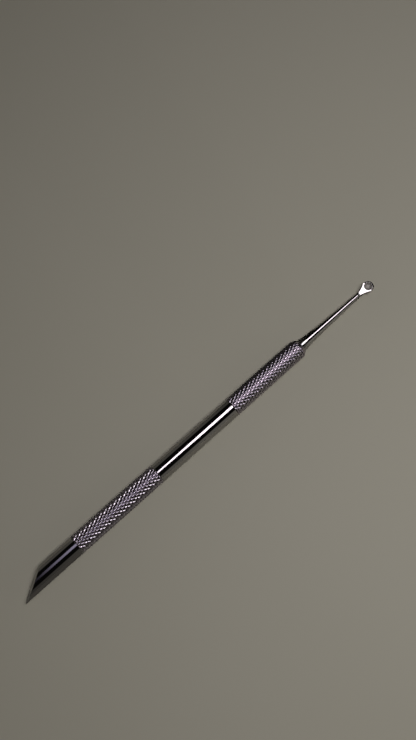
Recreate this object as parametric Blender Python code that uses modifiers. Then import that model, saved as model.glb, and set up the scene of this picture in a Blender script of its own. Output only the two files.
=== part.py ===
"""Double-ended cuticle pusher in stainless steel: an assembly of rigidly pressed and brazed pieces.

The tool lies along X with +Z up. Its bevel-ground pusher end points to -X and its spoon end to +X.
The world origin is under the middle of the tool, on the surface that it lies on.
All lengths are in metres. A station is a distance along the tool from the pusher's nose.
"""

import math

import bmesh
import bpy

# Overall sizes
TOTAL_LENGTH = 0.1303
BAR_RADIUS = 0.00275
GAP = 0.0003
EDGE_CHAMFER = 0.00015

# Stations where one piece meets the next
LOWER_KNURL_START = 0.0199
BARREL_START = 0.0482
UPPER_KNURL_START = 0.0756
NECK_START = 0.1019
HEAD_START = 0.1245

# Diamond knurl: crossed helical grooves that leave four-sided pyramids
KNURL_STARTS = 16
KNURL_PITCH = 0.001735
CREST_RADIUS = 0.0028
GROOVE_RADIUS = 0.0025
KNURL_LAND = 0.00012
UPPER_END_RADIUS = 0.0022
UPPER_END_CHAMFER = 0.0006

# Core rod and the bores that it fills
BORE_RADIUS = 0.0016
CORE_RADIUS = BORE_RADIUS - GAP
SOCKET_DEPTH = 0.0060
DRILL_POINT = 0.00096
SPIGOT_LENGTH = 0.0100

# Oblique ground face of the pusher end
BEVEL_ANGLE = math.radians(30.6)
BEVEL_ROLL = math.radians(19.5)
NOSE_THICKNESS = 0.00015
HEEL_RADIUS = 0.0025
HEEL_EXIT_ANGLE = math.radians(5.0)

# Neck and shank
SHANK_END_RADIUS = 0.0007
SHANK_TAPER = 0.0316
NECK_FLARE = 0.0006
NECK_FLARE_LENGTH = 0.0017

# Spoon head
HEAD_RADIUS = 0.0016
HEAD_HALF_WIDTH = 0.00168
HEAD_DEPTH = 0.00085
HEAD_LIFT = 0.0003
FACET_HEIGHT = 0.00055
DISH_RADIUS = 0.00117
DISH_DEPTH = 0.0005
DISH_SHIFT = 0.0002
RIM_LAND = 0.00005
RIM_SLOPE = 0.75
RIM_HALF_SWEEP = math.radians(82.0)

# Numbers of segments
TURNED_STEPS = 48
ARC_STEPS = 8
HEAD_SEGMENTS = 32
HEAD_FLARE_RINGS = 12
HEAD_ROUND_RINGS = 8
HEAD_LAST_ANGLE = math.radians(86.0)

KNURL_COLUMNS = 2 * KNURL_STARTS
AXIS_HEIGHT = CREST_RADIUS * math.cos(math.pi / KNURL_COLUMNS)
HEAD_CENTRE = TOTAL_LENGTH - HEAD_RADIUS
DISH_CENTRE = HEAD_CENTRE - DISH_SHIFT


def clear_scene():
    """Remove every object that the file holds."""
    for existing in list(bpy.data.objects):
        bpy.data.objects.remove(existing, do_unlink=True)


def new_collection(name):
    """Make a collection under the scene's own."""
    collection = bpy.data.collections.new(name)
    bpy.context.scene.collection.children.link(collection)
    return collection


def steel(name, colour, roughness):
    """Make a stainless steel material."""
    material = bpy.data.materials.new(name)
    material.use_nodes = True
    shader = material.node_tree.nodes["Principled BSDF"]
    shader.inputs["Base Color"].default_value = (*colour, 1.0)
    shader.inputs["Metallic"].default_value = 1.0
    shader.inputs["Roughness"].default_value = roughness
    return material


def place(name, mesh, collection, parent, material=None):
    """Put a mesh on the tool's axis as a named object, shaded smooth with its sharp edges kept."""
    item = bpy.data.objects.new(name, mesh)
    collection.objects.link(item)
    item.parent = parent
    if material is not None:
        mesh.materials.append(material)
    mesh.shade_smooth()
    mesh.set_sharp_from_angle(angle=math.radians(30.0))
    return item


def profile_mesh(name, points, closed):
    """Make a mesh of edges through (station, radius) points in the XY plane."""
    verts = [(station, radius, 0.0) for station, radius in points]
    edges = [(i, i + 1) for i in range(len(verts) - 1)]
    if closed:
        edges.append((len(verts) - 1, 0))
    mesh = bpy.data.meshes.new(name)
    mesh.from_pydata(verts, edges, [])
    return mesh


def turned(name, points, closed, collection, parent, material):
    """Turn a profile about the tool's axis. Its outer side runs from high to low stations."""
    item = place(name, profile_mesh(name, points, closed), collection, parent, material)
    screw = item.modifiers.new("Turn", "SCREW")
    screw.axis = "X"
    screw.angle = 2.0 * math.pi
    screw.steps = TURNED_STEPS
    screw.render_steps = TURNED_STEPS
    screw.use_merge_vertices = True
    screw.merge_threshold = 1e-6
    screw.use_smooth_shade = True
    return item


def cut(item, cutter, name):
    """Take a cutter's volume out of an item."""
    boolean = item.modifiers.new(name, "BOOLEAN")
    boolean.operation = "DIFFERENCE"
    boolean.solver = "EXACT"
    boolean.object = cutter


def place_cutter(name, mesh, collection, parent):
    """Put a cutter on the tool's axis, drawn as wire and left out of renders."""
    cutter = place(name, mesh, collection, parent)
    cutter.display_type = "WIRE"
    cutter.hide_render = True
    return cutter


def ring_point(station, radius, column, columns):
    """A point at one column round the axis, with a flat between two columns at the very bottom."""
    angle = (column + 0.5) * 2.0 * math.pi / columns
    return (station, radius * math.cos(angle), radius * math.sin(angle))


def knurled_tube_mesh(name, start, end, end_points):
    """A tube with a diamond knurl outside and a plain bore.

    The rows of the knurl stand half a pitch apart. Along a row a pyramid's peak and a groove crossing
    take turns, and the next row takes them the other way round. Each four-cornered patch is split
    from crossing to crossing, so the split edges are the straight bottoms of the grooves.
    """
    half_pitch = 0.5 * KNURL_PITCH
    first_row = start + KNURL_LAND
    row_count = int((end - first_row) / half_pitch) + 1
    bm = bmesh.new()
    rings = []

    def add_ring(station, radii):
        points = [ring_point(station, radii[k % 2], k, KNURL_COLUMNS) for k in range(KNURL_COLUMNS)]
        rings.append([bm.verts.new(point) for point in points])

    add_ring(start, (GROOVE_RADIUS, GROOVE_RADIUS))
    for row in range(row_count):
        peak_first = (CREST_RADIUS, GROOVE_RADIUS)
        crossing_first = (GROOVE_RADIUS, CREST_RADIUS)
        add_ring(first_row + row * half_pitch, peak_first if row % 2 == 0 else crossing_first)
    for station, radius in end_points:
        add_ring(station, (radius, radius))
    add_ring(end_points[-1][0], (BORE_RADIUS, BORE_RADIUS))
    add_ring(start, (BORE_RADIUS, BORE_RADIUS))

    for index, ring in enumerate(rings):
        following = rings[(index + 1) % len(rings)]
        for column in range(KNURL_COLUMNS):
            beside = (column + 1) % KNURL_COLUMNS
            corners = (ring[column], ring[beside], following[beside], following[column])
            if index > row_count:
                bm.faces.new(corners)
            elif (index + column) % 2 == 0:
                bm.faces.new((corners[0], corners[1], corners[2]))
                bm.faces.new((corners[0], corners[2], corners[3]))
            else:
                bm.faces.new((corners[0], corners[1], corners[3]))
                bm.faces.new((corners[1], corners[2], corners[3]))
    bmesh.ops.recalc_face_normals(bm, faces=bm.faces)
    mesh = bpy.data.meshes.new(name)
    bm.to_mesh(mesh)
    bm.free()
    return mesh


def lofted_mesh(name, rings):
    """Join rings of equally many points into one closed body, with a flat cap at each end."""
    bm = bmesh.new()
    rows = [[bm.verts.new(point) for point in ring] for ring in rings]
    count = len(rows[0])
    for row, following in zip(rows, rows[1:]):
        for index in range(count):
            beside = (index + 1) % count
            bm.faces.new((row[index], row[beside], following[beside], following[index]))
    bm.faces.new(rows[0])
    bm.faces.new(rows[-1])
    bmesh.ops.recalc_face_normals(bm, faces=bm.faces)
    mesh = bpy.data.meshes.new(name)
    bm.to_mesh(mesh)
    bm.free()
    return mesh


def bevel_outline():
    """Side view of what is ground away: a straight ramp that eases into the bar at its heel."""
    slope = math.tan(BEVEL_ANGLE)
    nose_side = -BAR_RADIUS + NOSE_THICKNESS
    heel_corner = (BAR_RADIUS - nose_side) / slope
    arc_centre = (heel_corner + HEEL_RADIUS * math.tan(0.5 * BEVEL_ANGLE), BAR_RADIUS - HEEL_RADIUS)
    beyond = 2.0 * BAR_RADIUS
    points = [(-beyond, nose_side - beyond * slope)]
    for step in range(ARC_STEPS + 1):
        angle = BEVEL_ANGLE + (HEEL_EXIT_ANGLE - BEVEL_ANGLE) * step / ARC_STEPS
        station = arc_centre[0] - HEEL_RADIUS * math.sin(angle)
        height = arc_centre[1] + HEEL_RADIUS * math.cos(angle)
        points.append((station, height))
    run_out = 0.5 * HEEL_RADIUS
    points.append((points[-1][0] + run_out, points[-1][1] + run_out * math.tan(HEEL_EXIT_ANGLE)))
    points.append((points[-1][0], beyond))
    points.append((-beyond, beyond))
    return points


def make_pusher_tip(parts, cutters, axis, material):
    """The solid end: a turned plug with a blind socket, ground off obliquely to a blunt nose."""
    end = LOWER_KNURL_START - 0.5 * GAP
    socket_bottom = end - SOCKET_DEPTH
    profile = [
        (socket_bottom - DRILL_POINT, 0.0),
        (socket_bottom, BORE_RADIUS),
        (end, BORE_RADIUS),
        (end, BAR_RADIUS - EDGE_CHAMFER),
        (end - EDGE_CHAMFER, BAR_RADIUS),
        (0.0, BAR_RADIUS),
        (0.0, 0.0),
    ]
    tip = turned("pusher_tip", profile, False, parts, axis, material)
    sides = (-2.0 * BAR_RADIUS, 2.0 * BAR_RADIUS)
    mesh = lofted_mesh("bevel_cutter", [[(x, y, z) for x, y in bevel_outline()] for z in sides])
    cutter = place_cutter("bevel_cutter", mesh, cutters, axis)
    cutter.rotation_euler.x = BEVEL_ROLL
    cut(tip, cutter, "Grind bevel")


def make_core_rod(parts, axis, material):
    """The plain rod inside, which every outer piece is pressed on."""
    low = LOWER_KNURL_START - 0.5 * GAP - SOCKET_DEPTH + GAP
    high = NECK_START - SPIGOT_LENGTH - GAP
    flat_radius = CORE_RADIUS - EDGE_CHAMFER
    profile = [
        (high, 0.0),
        (high, flat_radius),
        (high - EDGE_CHAMFER, CORE_RADIUS),
        (low + EDGE_CHAMFER, CORE_RADIUS),
        (low, flat_radius),
        (low, 0.0),
    ]
    turned("core_rod", profile, False, parts, axis, material)


def make_centre_barrel(parts, axis, material):
    """The polished sleeve between the two knurled ones."""
    low = BARREL_START + 0.5 * GAP
    high = UPPER_KNURL_START - 0.5 * GAP
    profile = [
        (high, BAR_RADIUS - EDGE_CHAMFER),
        (high - EDGE_CHAMFER, BAR_RADIUS),
        (low + EDGE_CHAMFER, BAR_RADIUS),
        (low, BAR_RADIUS - EDGE_CHAMFER),
        (low, BORE_RADIUS),
        (high, BORE_RADIUS),
    ]
    turned("centre_barrel", profile, True, parts, axis, material)


def make_knurled_sleeves(parts, axis, material):
    """The two grips. The upper one ends in a chamfered shoulder round the neck."""
    low_start = LOWER_KNURL_START + 0.5 * GAP
    low_end = BARREL_START - 0.5 * GAP
    low_mesh = knurled_tube_mesh(
        "lower_knurled_sleeve", low_start, low_end - KNURL_LAND, [(low_end, GROOVE_RADIUS)]
    )
    place("lower_knurled_sleeve", low_mesh, parts, axis, material)

    high_start = UPPER_KNURL_START + 0.5 * GAP
    high_end = NECK_START - 0.5 * GAP
    shoulder = [(high_end - UPPER_END_CHAMFER, GROOVE_RADIUS), (high_end, UPPER_END_RADIUS)]
    high_mesh = knurled_tube_mesh(
        "upper_knurled_sleeve", high_start, shoulder[0][0] - KNURL_LAND, shoulder
    )
    place("upper_knurled_sleeve", high_mesh, parts, axis, material)


def shank_radius(station):
    """A straight taper to the spoon, with a flare at the root that dies away exponentially."""
    taper = SHANK_END_RADIUS + SHANK_TAPER * (HEAD_START - station)
    return taper + NECK_FLARE * math.exp(-(station - NECK_START) / NECK_FLARE_LENGTH)


def make_neck_shank(parts, axis, material):
    """The slim shank with its flared neck, and the spigot that is pressed into the upper sleeve."""
    low = NECK_START - SPIGOT_LENGTH
    seat = NECK_START + 0.5 * GAP
    high = HEAD_START - 0.5 * GAP
    profile = [(high, 0.0)]
    for step in range(ARC_STEPS + 1):
        share = 1.0 - step / ARC_STEPS
        station = seat + (high - seat) * share ** 2
        profile.append((station, shank_radius(station)))
    profile.append((seat, CORE_RADIUS))
    profile.append((low + EDGE_CHAMFER, CORE_RADIUS))
    profile.append((low, CORE_RADIUS - EDGE_CHAMFER))
    profile.append((low, 0.0))
    turned("neck_shank", profile, False, parts, axis, material)


def head_section(station, half_width, half_height, lift):
    """An ellipse across the tool, as one ring of points."""
    angles = [2.0 * math.pi * step / HEAD_SEGMENTS for step in range(HEAD_SEGMENTS)]
    return [(station, half_width * math.cos(a), lift + half_height * math.sin(a)) for a in angles]


def head_blank_rings():
    """Sections of the uncut head.

    They widen with the square of the way to the head's centre, and then close as a quarter ellipse.
    """
    start = HEAD_START + 0.5 * GAP
    rings = []
    for step in range(HEAD_FLARE_RINGS + 1):
        share = step / HEAD_FLARE_RINGS
        grown = share ** 2
        half_width = SHANK_END_RADIUS + (HEAD_HALF_WIDTH - SHANK_END_RADIUS) * grown
        half_height = SHANK_END_RADIUS + (HEAD_DEPTH - SHANK_END_RADIUS) * grown
        station = start + (HEAD_CENTRE - start) * share
        rings.append(head_section(station, half_width, half_height, HEAD_LIFT * grown))
    for step in range(1, HEAD_ROUND_RINGS + 1):
        angle = HEAD_LAST_ANGLE * step / HEAD_ROUND_RINGS
        shrink = math.cos(angle)
        station = HEAD_CENTRE + HEAD_RADIUS * math.sin(angle) / math.sin(HEAD_LAST_ANGLE)
        rings.append(head_section(station, HEAD_HALF_WIDTH * shrink, HEAD_DEPTH * shrink, HEAD_LIFT))
    return rings


def rim_cutter_rings():
    """A wedge-shaped section swept round the far half of the dish, sloping down and outwards."""
    inner = DISH_RADIUS + RIM_LAND
    reach = 0.5 * DISH_RADIUS
    section = [
        (inner - reach, FACET_HEIGHT + reach * RIM_SLOPE),
        (inner + 2.0 * reach, FACET_HEIGHT - 2.0 * reach * RIM_SLOPE),
        (inner + 2.0 * reach, FACET_HEIGHT + reach * RIM_SLOPE),
    ]
    rings = []
    for step in range(2 * ARC_STEPS + 1):
        angle = RIM_HALF_SWEEP * (step / ARC_STEPS - 1.0)
        rings.append([
            (DISH_CENTRE + radius * math.cos(angle), radius * math.sin(angle), height)
            for radius, height in section
        ])
    return rings


def make_spoon_head(parts, cutters, axis, material):
    """A small round cup: a flat facet on top, a dish, and a rim that slopes away round the far half."""
    head = place("spoon_head", lofted_mesh("spoon_head", head_blank_rings()), parts, axis, material)

    block = 4.0 * HEAD_RADIUS
    bm = bmesh.new()
    bmesh.ops.create_cube(bm, size=block)
    facet_mesh = bpy.data.meshes.new("facet_cutter")
    bm.to_mesh(facet_mesh)
    bm.free()
    facet_cutter = place_cutter("facet_cutter", facet_mesh, cutters, axis)
    facet_cutter.location = (HEAD_CENTRE - HEAD_RADIUS, 0.0, FACET_HEIGHT + 0.5 * block)
    facet_cutter.scale.x = 2.0
    cut(head, facet_cutter, "Grind facet")

    rim_mesh = lofted_mesh("rim_cutter", rim_cutter_rings())
    cut(head, place_cutter("rim_cutter", rim_mesh, cutters, axis), "Slope rim")

    ball_radius = (DISH_RADIUS ** 2 + DISH_DEPTH ** 2) / (2.0 * DISH_DEPTH)
    bm = bmesh.new()
    bmesh.ops.create_uvsphere(
        bm, u_segments=HEAD_SEGMENTS, v_segments=HEAD_SEGMENTS // 2, radius=ball_radius
    )
    dish_mesh = bpy.data.meshes.new("dish_cutter")
    bm.to_mesh(dish_mesh)
    bm.free()
    dish_cutter = place_cutter("dish_cutter", dish_mesh, cutters, axis)
    dish_cutter.location = (DISH_CENTRE, 0.0, FACET_HEIGHT - DISH_DEPTH + ball_radius)
    cut(head, dish_cutter, "Hollow dish")


def main():
    """Build the whole tool."""
    clear_scene()
    parts = new_collection("cuticle_pusher")
    cutters = new_collection("cutters")
    polished = steel("polished_steel", (0.66, 0.65, 0.65), 0.12)
    knurled = steel("knurled_steel", (0.60, 0.58, 0.60), 0.28)
    turned_steel = steel("turned_steel", (0.55, 0.55, 0.55), 0.40)

    axis = bpy.data.objects.new("tool_axis", None)
    parts.objects.link(axis)
    axis.location = (-0.5 * TOTAL_LENGTH, 0.0, AXIS_HEIGHT)

    make_core_rod(parts, axis, turned_steel)
    make_pusher_tip(parts, cutters, axis, polished)
    make_knurled_sleeves(parts, axis, knurled)
    make_centre_barrel(parts, axis, polished)
    make_neck_shank(parts, axis, polished)
    make_spoon_head(parts, cutters, axis, polished)


main()
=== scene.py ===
import math

import bpy
import numpy as np
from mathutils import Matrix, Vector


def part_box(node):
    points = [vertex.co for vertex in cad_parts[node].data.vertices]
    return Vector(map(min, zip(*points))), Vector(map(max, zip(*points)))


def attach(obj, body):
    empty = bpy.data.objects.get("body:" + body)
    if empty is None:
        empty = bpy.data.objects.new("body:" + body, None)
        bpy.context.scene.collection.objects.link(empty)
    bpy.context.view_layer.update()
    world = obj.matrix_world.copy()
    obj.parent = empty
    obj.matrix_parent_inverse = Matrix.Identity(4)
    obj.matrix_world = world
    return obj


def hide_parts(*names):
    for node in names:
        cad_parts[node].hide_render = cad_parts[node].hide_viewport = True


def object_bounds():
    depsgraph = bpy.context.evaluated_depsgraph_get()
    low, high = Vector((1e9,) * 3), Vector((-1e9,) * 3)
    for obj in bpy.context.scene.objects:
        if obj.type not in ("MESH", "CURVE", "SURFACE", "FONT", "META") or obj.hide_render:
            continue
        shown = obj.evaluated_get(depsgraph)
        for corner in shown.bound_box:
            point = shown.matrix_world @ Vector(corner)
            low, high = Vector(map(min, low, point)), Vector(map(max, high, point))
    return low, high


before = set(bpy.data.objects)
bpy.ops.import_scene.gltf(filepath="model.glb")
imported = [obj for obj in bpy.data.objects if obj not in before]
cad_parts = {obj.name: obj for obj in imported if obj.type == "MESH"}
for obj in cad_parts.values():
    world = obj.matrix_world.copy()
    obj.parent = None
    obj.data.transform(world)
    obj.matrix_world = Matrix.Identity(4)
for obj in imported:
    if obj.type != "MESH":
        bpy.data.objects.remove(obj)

# A double-ended steel cuticle pusher, lying on a table. Lengths are in metres, and mm is a millimetre.
mm = 0.001
scene = bpy.context.scene
cadLow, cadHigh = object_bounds()
tipBox, lowerBox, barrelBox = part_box("pusher_tip"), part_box("lower_knurled_sleeve"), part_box("centre_barrel")
upperBox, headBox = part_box("upper_knurled_sleeve"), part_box("spoon_head")
axisHeight = 0.5 * (lowerBox[0].z + lowerBox[1].z)
barRadius = 0.5 * (barrelBox[1].y - barrelBox[0].y)
crestRadius = 0.5 * (lowerBox[1].y - lowerBox[0].y)
seam = 0.12 * mm    # tip and barrel reach this far over the clearance, so the seams close to a hair
print("frame loaded: bar diameter %.2f mm" % (2 * barRadius / mm))


def smoothStep(low, high, value):
    # 0 below low, 1 above high, and a cubic ease between them
    share = np.clip((value - low) / (high - low), 0.0, 1.0)
    return share * share * (3.0 - 2.0 * share)


def gridFaces(rows, columns, flipped, closedRows):
    # Two triangles, wound to point outwards, for each patch of a grid whose columns close round the axis.
    # flipped says which patches are split the other way.
    r = np.arange(rows if closedRows else rows - 1)
    c = np.arange(columns)
    rr, cc = np.meshgrid(r, c, indexing="ij")
    nextRow, nextColumn = (rr + 1) % rows, (cc + 1) % columns
    a, b = rr * columns + cc, rr * columns + nextColumn
    d, e = nextRow * columns + cc, nextRow * columns + nextColumn
    first = np.where(flipped, [a, b, d], [a, e, d])
    second = np.where(flipped, [b, e, d], [a, b, e])
    return np.concatenate([first.reshape(3, -1).T, second.reshape(3, -1).T])


def makePiece(name, grid, materials, flipped=False, closedRows=False, tags=None, sharp=32.0):
    # grid holds rows x columns x 3 points; a row that has shrunk to a point is a pole, and is welded
    rows, columns = grid.shape[:2]
    points = grid.reshape(-1, 3)
    faces = gridFaces(rows, columns, flipped, closedRows)
    _, first, index = np.unique(np.round(points / 2e-8).astype(np.int64), axis=0,
                                return_index=True, return_inverse=True)
    faces = index.reshape(-1)[faces]
    kept = (faces[:, 0] != faces[:, 1]) & (faces[:, 1] != faces[:, 2]) & (faces[:, 2] != faces[:, 0])
    slots = None if tags is None else np.tile(tags, 2)[kept]
    faces = faces[kept]
    mesh = bpy.data.meshes.new(name)
    mesh.vertices.add(len(first))
    mesh.vertices.foreach_set("co", points[first].astype(np.float32).ravel())
    mesh.loops.add(faces.size)
    mesh.loops.foreach_set("vertex_index", faces.astype(np.int32).ravel())
    mesh.polygons.add(len(faces))
    mesh.polygons.foreach_set("loop_start", np.arange(0, faces.size, 3, dtype=np.int32))
    for material in materials:
        mesh.materials.append(material)
    if slots is not None:
        mesh.polygons.foreach_set("material_index", slots.astype(np.int32))
    mesh.update(calc_edges=True)
    mesh.validate()
    mesh.shade_smooth()
    mesh.set_sharp_from_angle(angle=math.radians(sharp))
    piece = bpy.data.objects.new(name, mesh)
    scene.collection.objects.link(piece)
    return piece


def roundAxis(station, radius, angle):
    # a point at a station along the tool, a distance from its axis and an angle from +Y towards +Z
    return np.stack(np.broadcast_arrays(
        station, radius * np.cos(angle), axisHeight + radius * np.sin(angle)), axis=-1)


def angles(columns):
    return 2.0 * math.pi * np.arange(columns) / columns


def walked(profile, counts):
    # points along a profile of (station, radius) corners, with a count of steps on each straight run
    parts = []
    for (start, end), count in zip(zip(profile, profile[1:]), counts):
        share = np.arange(count)[:, None] / count
        parts.append(np.array(start) + (np.array(end) - np.array(start)) * share)
    parts.append(np.array(profile[-1])[None, :])
    return np.concatenate(parts)


def linear(hexColour):
    # an sRGB hex colour as linear RGBA
    values = [int(hexColour[i:i + 2], 16) / 255.0 for i in (1, 3, 5)]
    return [v / 12.92 if v <= 0.04045 else ((v + 0.055) / 1.055) ** 2.4 for v in values] + [1.0]


def addNode(material, kind, settings=None, links=None):
    # one node with its settings and the sockets that feed it
    tree = material.node_tree
    node = tree.nodes.new(kind)
    for key, value in (settings or {}).items():
        if hasattr(node, key):
            setattr(node, key, value)
        else:
            node.inputs[key].default_value = value
    for socket, source in (links or {}).items():
        tree.links.new(source, node.inputs[socket])
    return node


def makeSteel(name, colour, roughness, stretch, grain, bump, mottle, edge=0.7):
    # Stainless steel with fine polishing lines. stretch draws the lines out along an axis, grain is their
    # spacing in millimetres, bump their height in micrometres, mottle how far handling dulls the shine, and
    # edge how much light a grazing view keeps.
    material = bpy.data.materials.new(name)
    material.use_nodes = True
    shader = material.node_tree.nodes["Principled BSDF"]
    shader.inputs["Base Color"].default_value = linear(colour)
    shader.inputs["Metallic"].default_value = 1.0
    shader.inputs["Specular Tint"].default_value = (edge, edge, edge, 1.0)
    place = addNode(material, "ShaderNodeTexCoord")
    lines = addNode(material, "ShaderNodeMapping", {"Scale": stretch}, {"Vector": place.outputs["Object"]})
    noise = addNode(material, "ShaderNodeTexNoise", {"Scale": 1.0 / (grain * mm), "Detail": 3.0},
                    {"Vector": lines.outputs["Vector"]})
    height = addNode(material, "ShaderNodeBump", {"Distance": bump * 0.001 * mm, "Strength": 1.0},
                     {"Height": noise.outputs["Fac"]})
    cloud = addNode(material, "ShaderNodeTexNoise", {"Scale": 1.0 / (6.0 * mm), "Detail": 4.0},
                    {"Vector": place.outputs["Object"]})
    spread = addNode(material, "ShaderNodeMapRange",
                     {"From Min": 0.3, "From Max": 0.75, "To Min": roughness, "To Max": roughness + mottle},
                     {"Value": cloud.outputs["Fac"]})
    tree = material.node_tree
    tree.links.new(spread.outputs["Result"], shader.inputs["Roughness"])
    tree.links.new(height.outputs["Normal"], shader.inputs["Normal"])
    return material


# mirror-polished bar: buffed round the axis, so the lines run round it and the reflections stay crisp
polishedSteel = makeSteel("mirrorPolishedStainlessSteel", "#A9A7A5",
                          0.05, (1.0, 0.06, 0.06), 0.05, 0.15, 0.04)
# ground bevel: a fine wheel draws straight lines along the face
groundSteel = makeSteel("fineGroundStainlessSteel", "#A3A09C", 0.16, (0.2, 1.0, 1.0), 0.06, 0.5, 0.06)
# rolled knurl, softened by tumbling; its colour is painted lighter and lavender, a painted sheen for the
# lavender light its facets reflect
knurledSteel = makeSteel("rolledKnurlStainlessSteel", "#B2ABB3", 0.11, (1.0, 1.0, 1.0), 0.08, 0.3, 0.05)
# milled cup: left dull as the ball cutter made it; its colour is painted darker and olive, painted shade in the
# hollow with the table's tone
cupSteel = makeSteel("milledStainlessSteel", "#9C9B92", 0.60, (1.0, 1.0, 1.0), 0.05, 1.5, 0.08)
# turned rod: the tool leaves rings; it is hidden inside
turnedSteel = makeSteel("turnedStainlessSteel", "#A5A3A0", 0.35, (1.0, 0.05, 0.05), 0.12, 2.0, 0.05)
print("materials made")


# the round end, ground off obliquely
pusher = dict(
    angle=math.radians(30.6),    # ground face to the axis
    roll=math.radians(19.5),     # the face looks a little upwards
    nose=0.14 * mm,              # thickness left at the nose
    noseRound=0.12 * mm,
    heelRadius=2.5 * mm,         # the face eases into the bar
    fillet=0.13 * mm,            # softened edge all round the face
    chamfer=0.04 * mm,           # where it meets the sleeve
    socket=1.6 * mm, socketLength=6.0 * mm, socketPoint=1.0 * mm,    # drilled for the rod
    columns=320, faceRows=60, filletRows=6, sideRows=90,
)


def rampStation(height, piece):
    # Distance from the nose to the ground face at a height across the bar: zero on the nose, then a straight
    # ramp joined by a hyperbola, and near the heel an arc that ends parallel to the axis
    slope = math.tan(piece["angle"])
    foot = -barRadius + piece["nose"]
    ramp = (height - foot) / slope
    ramp = 0.5 * (ramp + np.sqrt(ramp ** 2 + piece["noseRound"] ** 2))
    radius = piece["heelRadius"]
    corner = (barRadius - foot) / slope
    centre = corner + radius * math.tan(0.5 * piece["angle"])
    drop = np.clip(height - (barRadius - radius), 0.0, radius)
    arc = centre - np.sqrt(radius ** 2 - drop ** 2)
    onArc = height > barRadius - radius * (1.0 - math.cos(piece["angle"]))
    return np.where(onArc, arc, ramp)


def makePusherTip():
    # Rows run from the middle of the ground face to its edge, over the softened edge, along the bar and into
    # the socket. On the face, a point at a distance and an angle from the axis stands at rampStation of its
    # height across the roll.
    piece = pusher
    turn = angles(piece["columns"])

    def onFace(radius, angle):
        height = radius * np.cos(angle - piece["roll"])
        return roundAxis(tipBox[0].x + rampStation(height, piece), radius, angle)

    edge = onFace(barRadius, turn)
    along = np.roll(edge, -1, 0) - np.roll(edge, 1, 0)
    along /= np.linalg.norm(along, axis=1, keepdims=True)
    # the way along the bar's side, square to the edge
    outward = roundAxis(0.0, 1.0, turn) - roundAxis(0.0, 0.0, turn)
    sideways = np.cross(outward, along)
    sideways *= np.sign(sideways[:, :1])
    # the way into the face, square to its edge
    inner = onFace(barRadius - piece["fillet"], turn)
    inward = inner - edge
    inward -= along * np.sum(inward * along, axis=1, keepdims=True)
    inward /= np.linalg.norm(inward, axis=1, keepdims=True)
    faceEdge = edge + inward * piece["fillet"]
    sideEdge = edge + sideways * piece["fillet"]
    # the softened edge is a parabola through three points: face, old corner, side
    t = np.linspace(0.0, 1.0, piece["filletRows"])[:, None, None]
    corner = (1 - t) ** 2 * faceEdge + 2 * t * (1 - t) * edge + t ** 2 * sideEdge

    radius = np.linalg.norm(faceEdge[:, 1:] - [0.0, axisHeight], axis=1)
    angle = np.arctan2(faceEdge[:, 2] - axisHeight, faceEdge[:, 1])
    share = np.linspace(0.0, 1.0, piece["faceRows"])[:-1, None]
    face = onFace(share * radius, np.broadcast_to(angle, share.shape[:1] + angle.shape))
    face[0] = face[0].mean(axis=0)

    end = tipBox[1].x + seam
    sideAngle = np.arctan2(sideEdge[:, 2] - axisHeight, sideEdge[:, 1])
    share = np.linspace(0.0, 1.0, piece["sideRows"])[1:, None]
    station = sideEdge[:, 0] + (end - piece["chamfer"] - sideEdge[:, 0]) * share
    side = roundAxis(station, barRadius, np.broadcast_to(sideAngle, station.shape))
    depth = piece["socketLength"]
    socket = [(end, barRadius - piece["chamfer"]), (end, piece["socket"]), (end - depth, piece["socket"]),
              (end - depth - piece["socketPoint"], 0.0)]
    inside = walked(socket, [8, 20, 6])
    hole = roundAxis(inside[:, :1], inside[:, 1:], sideAngle[None, :])
    grid = np.concatenate([face, corner, side, hole])
    tags = np.zeros((grid.shape[0] - 1, grid.shape[1]), int)
    tags[:piece["faceRows"] - 2] = 1
    return makePiece("pusherTip", grid, [polishedSteel, groundSteel], tags=tags.ravel())


# both knurled sleeves
knurl = dict(
    starts=16,                   # grooves of each hand
    pitch=1.735 * mm,            # along the axis
    depth=0.40 * mm,             # of the full pyramid, before its crest is rounded
    facet=0.40, swell=0.06,      # share of the height that is straight flank, and the cap's bulge over it
    bottomRound=0.04,
    offset=(-1, 0),              # grid steps that the pattern is turned and moved by
    nearBevel=0.12 * mm,
    lowerShoulder=(0.12 * mm, 0.12 * mm), upperShoulder=(1.0 * mm, 0.6 * mm),    # length and drop, far end
    fine=8,                      # grid steps to half a pitch
    bore=1.6 * mm,
)


def knurlRadius(station, angle, start):
    # Two families of helical V grooves, one of each hand. Each is a triangle wave of the distance round and
    # along; the lower of the two gives a four-sided pyramid. A flat paraboloid cuts its crest to a cap.
    turns = knurl["starts"] * angle / (2.0 * math.pi) + knurl["offset"][0] / (2.0 * knurl["fine"])
    advance = (station - start) / knurl["pitch"] + knurl["offset"][1] / (2.0 * knurl["fine"])
    right = np.abs(2.0 * ((turns + advance) % 1.0) - 1.0)
    left = np.abs(2.0 * ((turns - advance) % 1.0) - 1.0)
    outer = np.maximum(right, left)
    flank = np.sqrt((1.0 - outer) ** 2 + knurl["bottomRound"] ** 2) - knurl["bottomRound"]
    spread = 0.5 * (right ** 2 + left ** 2 + outer ** 2) / (1.0 - knurl["facet"]) ** 2
    cap = knurl["facet"] + knurl["swell"] * (1.0 - spread)
    return crestRadius - knurl["depth"] * (knurl["facet"] + knurl["swell"] - np.minimum(flank, cap))


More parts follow.
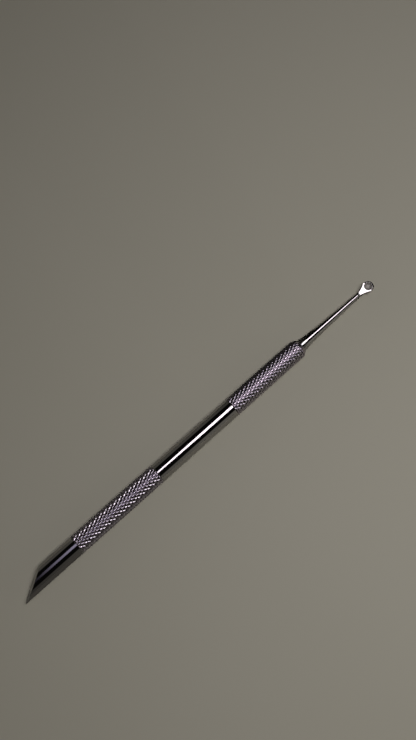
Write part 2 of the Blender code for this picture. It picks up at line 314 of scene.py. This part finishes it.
def makeSleeve(name, box, shoulder):
    # A tube whose outer radius is the knurl's. The rows stand a part of half a pitch apart, so crests and
    # grooves fall on grid lines. The ends are turned down after knurling: a cone cuts the crests away.
    step = 0.5 * knurl["pitch"] / knurl["fine"]
    columns = 2 * knurl["starts"] * knurl["fine"]
    turn = angles(columns)
    start, end = box[0].x, box[1].x
    station = np.append(start + step * np.arange(int((end - start) / step - 0.2) + 1), end)
    outer = knurlRadius(station[:, None], turn[None, :], start)
    cone = crestRadius - shoulder[1] * (1.0 - np.clip((end - station) / shoulder[0], 0.0, 1.0))
    cone = np.minimum(cone, crestRadius - np.clip(knurl["nearBevel"] - (station - start), 0.0, 1.0))
    outer = np.minimum(outer, cone[:, None])
    body = roundAxis(station[:, None], outer, turn[None, :])
    bore = knurl["bore"]
    inside = walked([(end, 0.5 * (outer.min() + bore)), (end, bore), (start, bore)], [3, 24])
    rest = roundAxis(inside[:, :1], inside[:, 1:], turn[None, :])
    grid = np.concatenate([body, rest])
    # groove bottoms run from pit to pit, so the patches are split along them
    r = (np.arange(grid.shape[0])[:, None] + knurl["offset"][1]) // knurl["fine"]
    c = (np.arange(columns)[None, :] + knurl["offset"][0]) // knurl["fine"]
    return makePiece(name, grid, [knurledSteel], flipped=(r + c) % 2 == 1, closedRows=True, sharp=75.0)


# the plain barrel between them
barrel = dict(columns=256, chamfer=0.04 * mm, bore=1.6 * mm)


def makeBarrel():
    # straight runs of a profile, turned round the axis
    low, high, chamfer = barrelBox[0].x - seam, barrelBox[1].x + seam, barrel["chamfer"]
    shape = [(low, barRadius - chamfer), (low + chamfer, barRadius), (high - chamfer, barRadius),
             (high, barRadius - chamfer), (high, barrel["bore"]), (low, barrel["bore"])]
    walk = walked(shape, [2, 80, 2, 6, 20])
    grid = roundAxis(walk[:, :1], walk[:, 1:], angles(barrel["columns"])[None, :])
    return makePiece("centreBarrel", grid, [polishedSteel], closedRows=True)


# the neck and the slim shank
shank = dict(
    columns=160, rows=220,
    endRadius=0.70 * mm, taper=0.0316,           # straight taper towards the spoon
    flare=0.52 * mm, flareLength=2.3 * mm,       # dies away exponentially from the root
    gap=0.03 * mm,                               # left to the sleeve and to the spoon
    spigot=1.3 * mm, spigotLength=10.0 * mm,
    endBevel=0.40 * mm, endSlope=0.26,           # turned down before the spoon
)


def shankRadius(station):
    # a straight taper, plus an exponential flare at the root
    root = upperBox[1].x
    taper = shank["endRadius"] + shank["taper"] * (headBox[0].x - station)
    return taper + shank["flare"] * np.exp(-(station - root) / shank["flareLength"])


def makeNeckShank():
    # The spigot, the flared taper and the bevel as one profile, turned round the axis. The rows stand closer
    # together at the root, where the flare bends most.
    low, high = upperBox[1].x + shank["gap"], headBox[0].x - shank["gap"]
    share = np.linspace(0.0, 1.0, shank["rows"]) ** 1.6
    station = low + (high - shank["endBevel"] - low) * share
    spigot = walked([(low - shank["spigotLength"], 0.0), (low - shank["spigotLength"], shank["spigot"]),
                     (low, shank["spigot"])], [6, 20])
    cone = np.stack([station, shankRadius(station)], axis=1)
    last = cone[-1, 1]
    tip = last - shank["endSlope"] * shank["endBevel"]
    bevel = walked([(cone[-1, 0], last), (high, tip), (high, 0.0)], [6, 6])
    walk = np.concatenate([spigot, cone, bevel[1:]])
    grid = roundAxis(walk[:, :1], walk[:, 1:], angles(shank["columns"])[None, :])
    return makePiece("neckShank", grid, [polishedSteel])


# the small cup on the end
spoon = dict(
    radius=1.6 * mm,             # outline of the far half
    neckRadius=0.66 * mm,        # where it meets the shank
    facet=0.55 * mm,             # facet above the axis
    rampEnd=0.42 * mm, rampSlope=0.26,   # a short slope leads down to the facet
    bow=0.09 * mm,               # how far the flare's edges draw in
    bottom=-0.55 * mm,           # underside, from the axis
    dishRadius=1.22 * mm, dishDepth=0.42 * mm, dishShift=0.20 * mm,    # the dish sits back from the far end
    rimSlope=1.0, rimLand=0.03 * mm,     # the rim falls away outside a narrow land
    slopeFull=math.radians(79.0), slopeGone=math.radians(99.0),    # angles round the dish
    flareColumns=70, farColumns=100, buttColumns=8,
    dishRows=26, topRows=30, bodyRows=40,
)


def facetHeight(station):
    # level, with a short slope up to the shank at the start
    return spoon["facet"] + spoon["rampSlope"] * np.maximum(headBox[0].x + spoon["rampEnd"] - station, 0.0)


def headOutline():
    # One side of the head, from the shank to the far end: station, half width at the facet, and how far the
    # section has changed from the shank's circle to the cup's bowl. The flare is a straight line that touches
    # the far half's circle, drawn in by a half sine.
    centre = headBox[1].x - spoon["radius"]
    start = headBox[0].x + spoon["rampEnd"]
    narrow = math.sqrt(spoon["neckRadius"] ** 2 - spoon["facet"] ** 2)
    reach = math.hypot(centre - start, narrow)
    lean = math.asin(spoon["radius"] / reach) - math.atan2(narrow, centre - start)
    touch = 0.5 * math.pi + lean
    touchX = centre + spoon["radius"] * math.cos(touch)
    ramp = np.linspace(headBox[0].x, start, 8)[:-1]
    flare = np.linspace(start, touchX, spoon["flareColumns"])
    share = (flare - start) / (touchX - start)
    flareWidth = narrow + (flare - start) * math.tan(lean) - spoon["bow"] * np.sin(math.pi * share)
    rampWidth = np.sqrt(spoon["neckRadius"] ** 2 - facetHeight(ramp) ** 2)
    turn = touch * (1.0 - np.linspace(0.0, 1.0, spoon["farColumns"])[1:])
    station = np.concatenate([ramp, flare, centre + spoon["radius"] * np.cos(turn)])
    width = np.concatenate([rampWidth, flareWidth, spoon["radius"] * np.sin(turn)])
    grown = np.concatenate([0.0 * ramp, smoothStep(0.0, 1.0, share), np.ones_like(turn)])
    return station, width, grown, centre


def makeSpoonHead():
    # Half of the head is a grid: columns follow the outline, and rows run from the dish's bottom over the
    # rim, the top and the side to the line underneath. The other half mirrors it, and the butt joins them.
    station, width, grown, centre = headOutline()
    cup = centre - spoon["dishShift"]
    polar = np.arctan2(width, station - cup)
    # the rim slopes outwards round the far half, and the slope fades out just past the widest place
    sloped = 1.0 - smoothStep(spoon["slopeFull"], spoon["slopeGone"], polar)
    rim = spoon["dishRadius"] + spoon["rimLand"]

    def topHeight(x, y, share):
        fall = spoon["rimSlope"] * np.maximum(np.hypot(x - cup, y) - rim, 0.0) * share
        return facetHeight(x) - fall

    # dish: a ball's cap, from its bottom to the rim
    ball = (spoon["dishRadius"] ** 2 + spoon["dishDepth"] ** 2) / (2.0 * spoon["dishDepth"])
    tilt = np.linspace(0.0, math.asin(spoon["dishRadius"] / ball), spoon["dishRows"])[:, None]
    dishX = cup + ball * np.sin(tilt) * np.cos(polar)
    dishY = ball * np.sin(tilt) * np.sin(polar)
    dishZ = spoon["facet"] - spoon["dishDepth"] + ball * (1.0 - np.cos(tilt)) + 0.0 * polar
    dish = np.stack([dishX, dishY, dishZ], axis=-1)

    # top: straight lines outwards from the rim to the outline
    out = np.linspace(0.0, 1.0, spoon["topRows"])[1:, None]
    topX = dishX[-1] + (station - dishX[-1]) * out
    topY = dishY[-1] + (width - dishY[-1]) * out
    top = np.stack([topX, topY, topHeight(topX, topY, sloped)], axis=-1)
    edgeHeight = top[-1, :, 2]

    # body: a blend of the shank's circle and the cup's bowl, from the outline to the line underneath
    down = np.linspace(0.0, 1.0, spoon["bodyRows"])[1:, None]
    startAngle = np.arcsin(np.minimum(edgeHeight / spoon["neckRadius"], 1.0))
    ring = startAngle - (startAngle + 0.5 * math.pi) * down
    circleY, circleZ = spoon["neckRadius"] * np.cos(ring), spoon["neckRadius"] * np.sin(ring)
    sweep = 0.5 * math.pi * down
    bowlY, bowlZ = width * np.cos(sweep), edgeHeight - (edgeHeight - spoon["bottom"]) * np.sin(sweep)
    near = station < centre
    bodyX = np.where(near, station + 0.0 * sweep, centre + (station - centre) * np.cos(sweep))
    bodyY = circleY * (1.0 - grown) + bowlY * grown
    bodyZ = circleZ * (1.0 - grown) + bowlZ * grown
    bodyY[-1] = 0.0
    body = np.stack([bodyX, bodyY, bodyZ], axis=-1)

    half = np.concatenate([dish, top, body])
    other = half[:, ::-1] * [1.0, -1.0, 1.0]
    # butt: the flat end against the shank is spanned between the two sides, row by row
    share = np.linspace(0.0, 1.0, spoon["buttColumns"] + 2)[1:-1, None]
    butt = other[:, -1:] * (1.0 - share) + half[:, :1] * share
    angle = polar[0] + (2.0 * math.pi - 2.0 * polar[0]) * (1.0 - share[:, 0])
    rows = spoon["dishRows"]
    butt[:rows, :, 0] = cup + ball * np.sin(tilt) * np.cos(angle)
    butt[:rows, :, 1] = ball * np.sin(tilt) * np.sin(angle)
    blend = np.linspace(0.0, 1.0, spoon["topRows"])[:, None, None]
    last = rows + spoon["topRows"] - 2
    butt[rows - 1:last + 1] = butt[rows - 1] * (1.0 - blend) + butt[last] * blend
    butt[rows:last, :, 2] = facetHeight(butt[rows:last, :, 0])
    grid = np.concatenate([half, other[:, 1:], butt], axis=1)
    grid[..., 2] += axisHeight
    grid[0] = grid[0].mean(axis=0)
    tags = np.zeros((grid.shape[0] - 1, grid.shape[1]), int)
    tags[:rows - 1] = 1
    return makePiece("spoonHead", grid, [polishedSteel, cupSteel], tags=tags.ravel())


pieces = {
    "pusher_tip": makePusherTip(),
    "lower_knurled_sleeve": makeSleeve("lowerKnurledSleeve", lowerBox, knurl["lowerShoulder"]),
    "centre_barrel": makeBarrel(),
    "upper_knurled_sleeve": makeSleeve("upperKnurledSleeve", upperBox, knurl["upperShoulder"]),
    "neck_shank": makeNeckShank(),
    "spoon_head": makeSpoonHead(),
}
for node, piece in pieces.items():
    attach(piece, "root")
    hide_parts(node)
    print("made", piece.name, len(piece.data.polygons), "triangles")
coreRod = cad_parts["core_rod"]
coreRod.data.materials.clear()
coreRod.data.materials.append(turnedSteel)


tableTop = dict(half=2.0, roughness=0.75, cloudScale=9.0, colours=("#C9C5B6", "#CDC9BC"))


def makeTable():
    # matt laminate: pale and dull, with a very faint mottle
    material = bpy.data.materials.new("matteLaminate")
    material.use_nodes = True
    shader = material.node_tree.nodes["Principled BSDF"]
    shader.inputs["Roughness"].default_value = tableTop["roughness"]
    place = addNode(material, "ShaderNodeTexCoord")
    cloud = addNode(material, "ShaderNodeTexNoise", {"Scale": tableTop["cloudScale"], "Detail": 2.0},
                    {"Vector": place.outputs["Object"]})
    tint = addNode(material, "ShaderNodeMix", {"data_type": "RGBA"}, {"Factor": cloud.outputs["Fac"]})
    tint.inputs["A"].default_value = linear(tableTop["colours"][0])
    tint.inputs["B"].default_value = linear(tableTop["colours"][1])
    material.node_tree.links.new(tint.outputs["Result"], shader.inputs["Base Color"])
    half = tableTop["half"]
    mesh = bpy.data.meshes.new("table")
    corners = [(-half, -half, 0), (half, -half, 0), (half, half, 0), (-half, half, 0)]
    mesh.from_pydata(corners, [], [(0, 1, 2, 3)])
    mesh.materials.append(material)
    table = bpy.data.objects.new("table", mesh)
    scene.collection.objects.link(table)


# softboxes above, sheets of painted shade that show in the steel only, a key lamp and the room
light = dict(
    height=0.60,                 # of the softboxes over the table
    # outlines of three softboxes end to end, as (along, across) corners, and their strengths
    near=[(0.010, 0.068), (0.100, 0.094), (0.240, 0.120), (0.280, 0.150), (0.360, 0.160),
          (0.360, -0.070), (0.280, -0.070), (0.200, -0.080), (0.110, -0.160), (0.070, -0.150),
          (0.040, -0.100), (0.010, -0.040)],
    far=[(0.360, 0.160), (0.385, 0.225), (0.550, 0.240), (0.550, -0.130), (0.385, -0.115), (0.360, -0.070)],
    end=[(0.550, 0.240), (0.715, 0.240), (0.715, -0.130), (0.550, -0.130)],
    nearStrength=4.5, farStrength=4.2, endStrength=1.4,
    # a weak one over the pusher's end, which grows from nothing at glowLow
    glow=[(-0.128, 0.150), (0.010, 0.150), (0.010, -0.115), (-0.128, -0.115)],
    glowStrength=2.0, glowLow=-0.128, glowHigh=0.010,
    # painted shade: black and grey sheets a hair above the table, seen only in the steel, darken its reflections
    # of the table beside the pusher's end, the lower sleeve, the neck and the head
    blackFlag=[(0.014, 0.0), (0.043, 0.0), (0.056, 0.040), (0.100, 0.250), (0.014, 0.250)],
    headFlag=[(0.059, -0.010), (0.080, -0.020), (0.100, -0.020), (0.100, 0.030), (0.075, 0.030),
              (0.059, 0.010)],
    farFlag=[(-0.045, 0.0), (-0.017, 0.0), (-0.017, 0.250), (-0.045, 0.250)],
    nearFlag=[(-0.200, -0.250), (-0.017, -0.250), (-0.017, 0.0), (-0.200, 0.0)],
    flagHeight=0.3 * mm, farGrey=0.05, nearGrey=0.09,
    keyPower=0.225, keyPlace=(0.0745, -0.083, 0.45), keySize=(0.20, 0.126),
    keySpread=math.radians(100.0), keyColour=(1.0, 0.985, 0.96),
    # The room. A span is a range of a direction's part along an axis. The near (south) and the far (north)
    # side wall go from their first strength to their second over their spans.
    wallColour="#F4EEE2", south=(0.05, 0.33), southSpan=(-0.15, 0.35),
    north=(0.115, 0.0), northSpan=(0.12, 0.26),
    ends=(0.32, 0.02), endSpan=(0.40, 0.46),      # end walls, the pusher's first
    fade=0.40, fadeSpan=(0.44, 0.58),             # side walls near the far end
    sideSpan=(-0.1, 0.1), ceiling=0.004, ceilingSpan=(0.50, 0.62),
)


def makeEmitter(name, outline, colour, strength, height=light["height"], ramp=None):
    # A flat panel that shows in the steel only. ramp makes its strength grow from nothing at one station to
    # full at another.
    material = bpy.data.materials.new(name)
    material.use_nodes = True
    tree = material.node_tree
    tree.nodes.clear()
    output = addNode(material, "ShaderNodeOutputMaterial")
    glow = addNode(material, "ShaderNodeEmission", {"Strength": strength, "Color": linear(colour)})
    if ramp:
        place = addNode(material, "ShaderNodeTexCoord")
        split = addNode(material, "ShaderNodeSeparateXYZ", {}, {"Vector": place.outputs["Object"]})
        growth = addNode(material, "ShaderNodeMapRange",
                         {"From Min": ramp[0], "From Max": ramp[1], "To Min": 0.0, "To Max": strength},
                         {"Value": split.outputs["X"]})
        tree.links.new(growth.outputs["Result"], glow.inputs["Strength"])
    tree.links.new(glow.outputs["Emission"], output.inputs["Surface"])
    mesh = bpy.data.meshes.new(name)
    mesh.from_pydata([(x, y, height) for x, y in outline], [], [range(len(outline))])
    mesh.materials.append(material)
    panel = bpy.data.objects.new(name, mesh)
    scene.collection.objects.link(panel)
    panel.visible_camera = False
    panel.visible_diffuse = False
    panel.visible_shadow = False


def makeKey():
    # the soft lamp that lights the table; the steel shows the softboxes instead
    lamp = bpy.data.lights.new("keyLight", "AREA")
    lamp.shape = "RECTANGLE"
    lamp.size, lamp.size_y = light["keySize"]
    lamp.energy = light["keyPower"]
    lamp.spread = light["keySpread"]
    lamp.color = light["keyColour"]
    holder = bpy.data.objects.new("keyLight", lamp)
    holder.location = light["keyPlace"]
    holder.visible_glossy = False
    scene.collection.objects.link(holder)


def makeWorld():
    # A room with a dark ceiling. Towards the spoon's end the near wall grows brighter and the far wall
    # darker, and both end walls have a light of their own.
    world = bpy.data.worlds.new("room")
    scene.world = world
    world.use_nodes = True
    back = world.node_tree.nodes["Background"]
    back.inputs["Color"].default_value = linear(light["wallColour"])
    place = addNode(world, "ShaderNodeTexCoord")
    split = addNode(world, "ShaderNodeSeparateXYZ", {}, {"Vector": place.outputs["Generated"]})

    def spanned(axis, span, values, settings=None):
        # from one value to the other over a span
        node = addNode(world, "ShaderNodeMapRange",
                       {"From Min": span[0], "From Max": span[1], "To Min": values[0], "To Max": values[1],
                        **(settings or {})},
                       {"Value": split.outputs[axis]})
        return node.outputs["Result"]

    south = spanned("X", light["southSpan"], light["south"])
    north = spanned("X", light["northSpan"], light["north"])
    wall = addNode(world, "ShaderNodeMix", {}, {"Factor": spanned("Y", light["sideSpan"], (0.0, 1.0))})
    wall.data_type = "FLOAT"
    tree = world.node_tree
    tree.links.new(south, wall.inputs[2])
    tree.links.new(north, wall.inputs[3])
    # the side walls fade towards the far end, where the end wall takes over
    fade = spanned("X", light["fadeSpan"], (1.0, light["fade"]))
    faded = addNode(world, "ShaderNodeMath", {"operation": "MULTIPLY"}, {0: wall.outputs[0], 1: fade})
    walls = faded.outputs["Value"]
    low, high = light["endSpan"]
    for way, strength in zip((-1.0, 1.0), light["ends"]):
        end = spanned("X", (low * way, high * way), (0.0, strength))
        lit = addNode(world, "ShaderNodeMath", {"operation": "MAXIMUM"}, {0: walls, 1: end})
        walls = lit.outputs["Value"]
    above = spanned("Z", light["ceilingSpan"], (0.0, 1.0), {"interpolation_type": "SMOOTHSTEP"})
    room = addNode(world, "ShaderNodeMix", {}, {"Factor": above})
    room.data_type = "FLOAT"
    tree.links.new(walls, room.inputs[2])
    room.inputs[3].default_value = light["ceiling"]
    tree.links.new(room.outputs[0], back.inputs["Strength"])


makeTable()
makeEmitter("nearSoftbox", light["near"], "#FFF3FF", light["nearStrength"])
makeEmitter("farSoftbox", light["far"], "#FFFBFC", light["farStrength"])
makeEmitter("endSoftbox", light["end"], "#F3EEFF", light["endStrength"])
makeEmitter("softboxGlow", light["glow"], "#E4DCFF", light["glowStrength"],
            ramp=(light["glowLow"], light["glowHigh"]))
# painted shade: these four sheets darken only the steel's reflections of the table beside the tool
makeEmitter("blackFlag", light["blackFlag"], "#FFFFFF", 0.0, light["flagHeight"])
makeEmitter("headFlag", light["headFlag"], "#FFFFFF", 0.0, light["flagHeight"])
makeEmitter("farGreyFlag", light["farFlag"], "#FFF6E8", light["farGrey"], light["flagHeight"])
makeEmitter("nearGreyFlag", light["nearFlag"], "#FFF6E8", light["nearGrey"], light["flagHeight"])
makeKey()
makeWorld()
print("table and light made")


# where the camera stands
camera = dict(
    focal=900.0, imageHeight=740.0,      # in the same unit
    tilt=math.radians(14.82),            # away from straight down
    distance=251.9 * mm, sensor=36.0,
    toolTurn=math.radians(42.08),        # the tool on the table, from the view's right towards its top
    middle=(-1.17 * mm, -17.78 * mm),    # the tool's middle from the point aimed at, right and up
)


def makeCamera():
    turn = camera["toolTurn"]
    right = np.array([math.cos(turn), -math.sin(turn), 0.0])
    away = np.array([math.sin(turn), math.cos(turn), 0.0])
    middle = np.array([0.5 * (cadLow.x + cadHigh.x), 0.0, axisHeight])
    aim = middle - right * camera["middle"][0] - away * camera["middle"][1]
    back = -away * math.sin(camera["tilt"]) + np.array([0.0, 0.0, math.cos(camera["tilt"])])
    data = bpy.data.cameras.new("camera")
    data.sensor_width = camera["sensor"]
    data.lens = camera["sensor"] * camera["focal"] / camera["imageHeight"]
    data.clip_start, data.clip_end = 0.01, 20.0
    holder = bpy.data.objects.new("camera", data)
    scene.collection.objects.link(holder)
    up = np.cross(back, right)
    matrix = np.eye(4)
    matrix[:3, 0], matrix[:3, 1], matrix[:3, 2] = right, up, back
    matrix[:3, 3] = aim + back * camera["distance"]
    holder.matrix_world = matrix.T
    scene.camera = holder


makeCamera()
scene.view_settings.view_transform = "Standard"
print("camera made")
